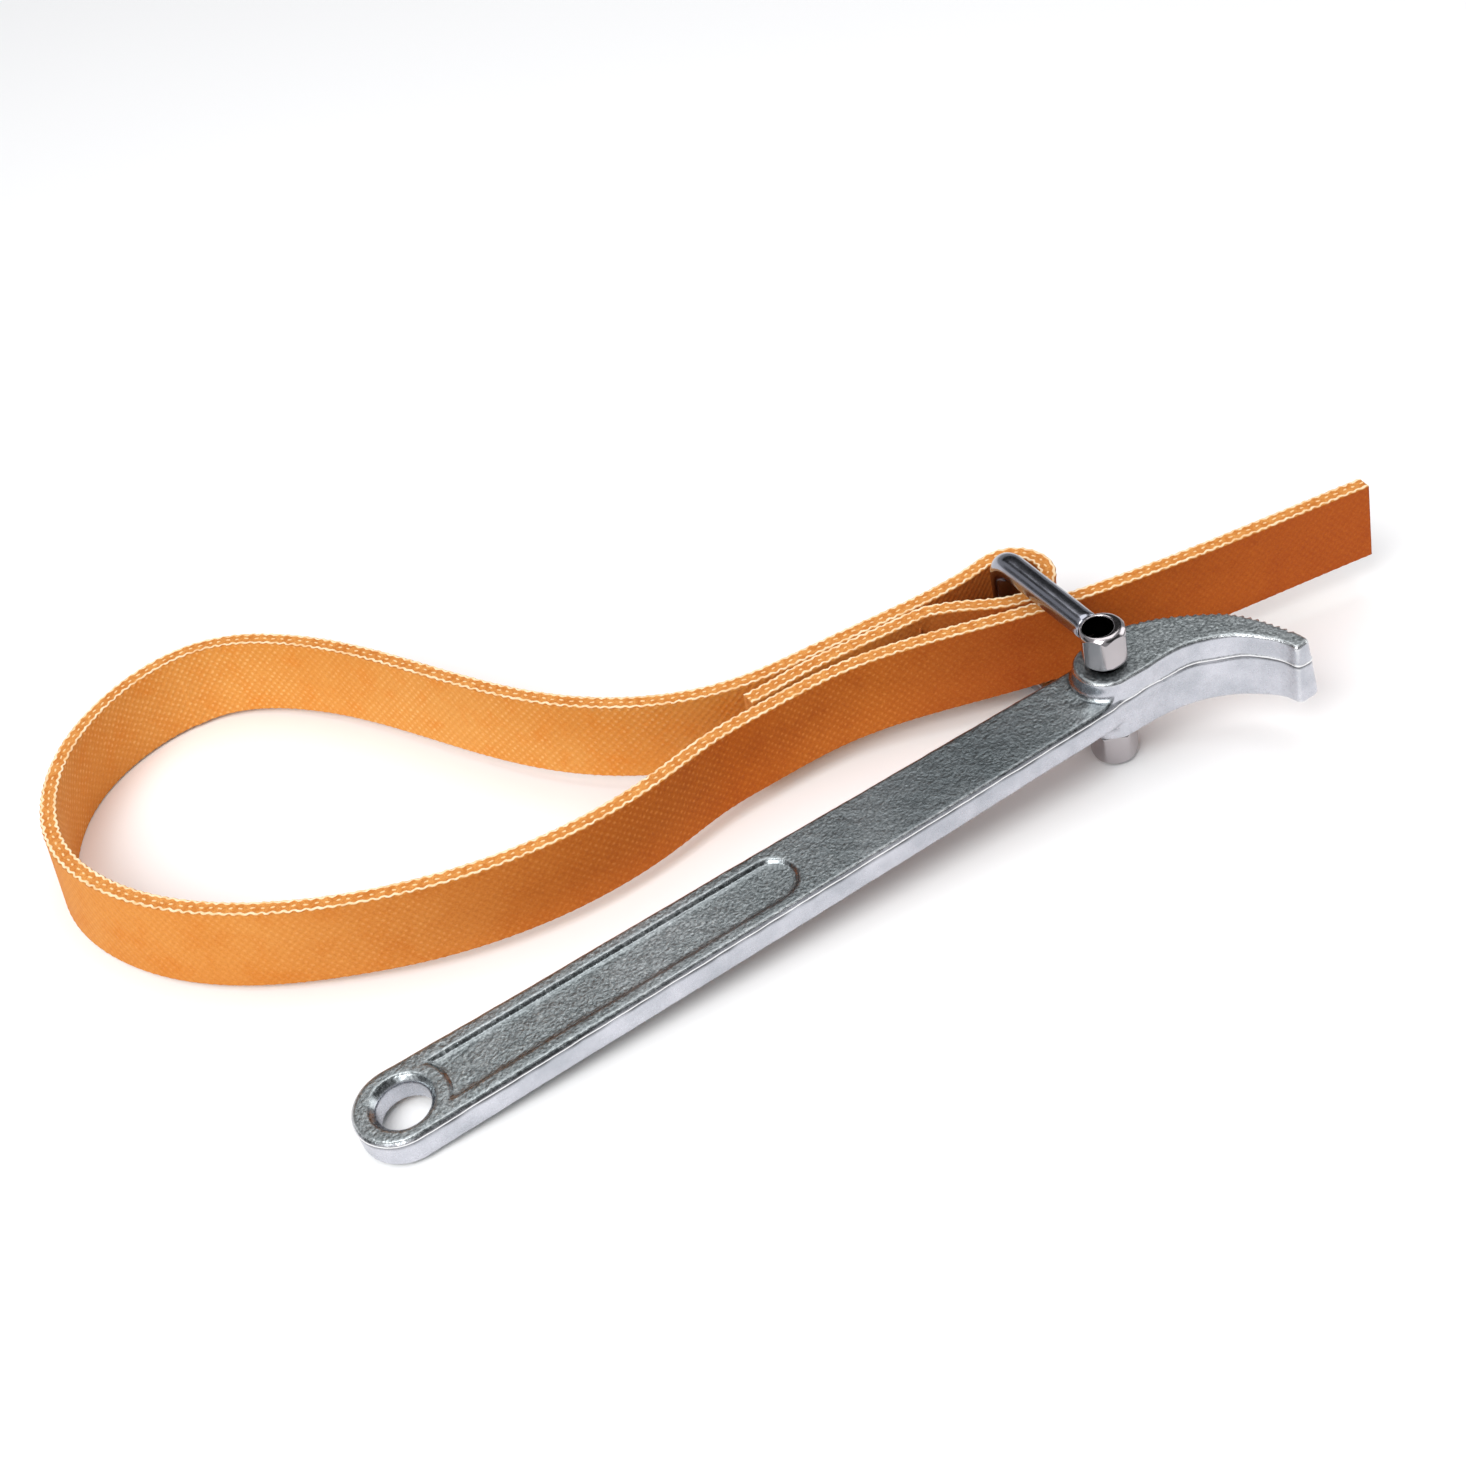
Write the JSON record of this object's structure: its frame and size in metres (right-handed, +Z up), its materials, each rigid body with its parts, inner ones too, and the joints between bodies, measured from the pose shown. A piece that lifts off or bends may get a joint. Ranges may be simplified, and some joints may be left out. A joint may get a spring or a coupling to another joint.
{
  "type": "oil filter strap wrench",
  "caption": "Strap wrench for spin-on oil filters: forged handle with toothed hook jaw, pivoting steel bail and an orange fabric belt looped through it.",
  "frame": {"origin": "centre of the whole wrench in plan, on the surface that it lies on", "axes": "+X from the hanging hole towards the jaw, +Y from the handle towards the belt loop, +Z up as the wrench lies on its side"},
  "size_m": [0.377, 0.225, 0.0497],
  "materials": {
    "forged_steel": "satin",
    "polished_steel": "polished",
    "pin_steel": "satin",
    "belt_fabric": "matte",
    "seam_thread": "matte"
  },
  "bodies": {
    "handle": {"handle_forging": "forged_steel"},
    "bail": {"bail_rod": "polished_steel", "bail_eye_upper": "polished_steel", "bail_eye_lower": "polished_steel", "pivot_pin": "pin_steel"},
    "strap": {"strap_sewn_end": "belt_fabric", "strap_loop": "belt_fabric", "seam_row_1_outer": "seam_thread", "seam_row_1_inner": "seam_thread", "seam_row_2_outer": "seam_thread", "seam_row_2_inner": "seam_thread", "seam_row_3_outer": "seam_thread", "seam_row_3_inner": "seam_thread"},
    "strap_tail": {"strap_tail": "belt_fabric"}
  },
  "joints": [
    {"name": "bail_swing", "type": "hinge", "parent": "handle", "child": "bail", "pos_m": [0.08332, -0.08074, 0.02485], "axis": [-0.085, 0, 0.9964], "range_deg": [-40, 4]},
    {"name": "strap_swivel", "type": "hinge", "parent": "bail", "child": "strap", "pos_m": [0.08332, -0.03373, 0.02485], "axis": [-0.085, 0, 0.9964], "range_deg": [-4, 4]},
    {"name": "strap_pull", "type": "slide", "parent": "strap", "child": "strap_tail", "axis": [0.9793, -0.1999, 0.0316], "range_m": [-0.05, 0.06], "deforming": ["strap_loop"]}
  ]
}
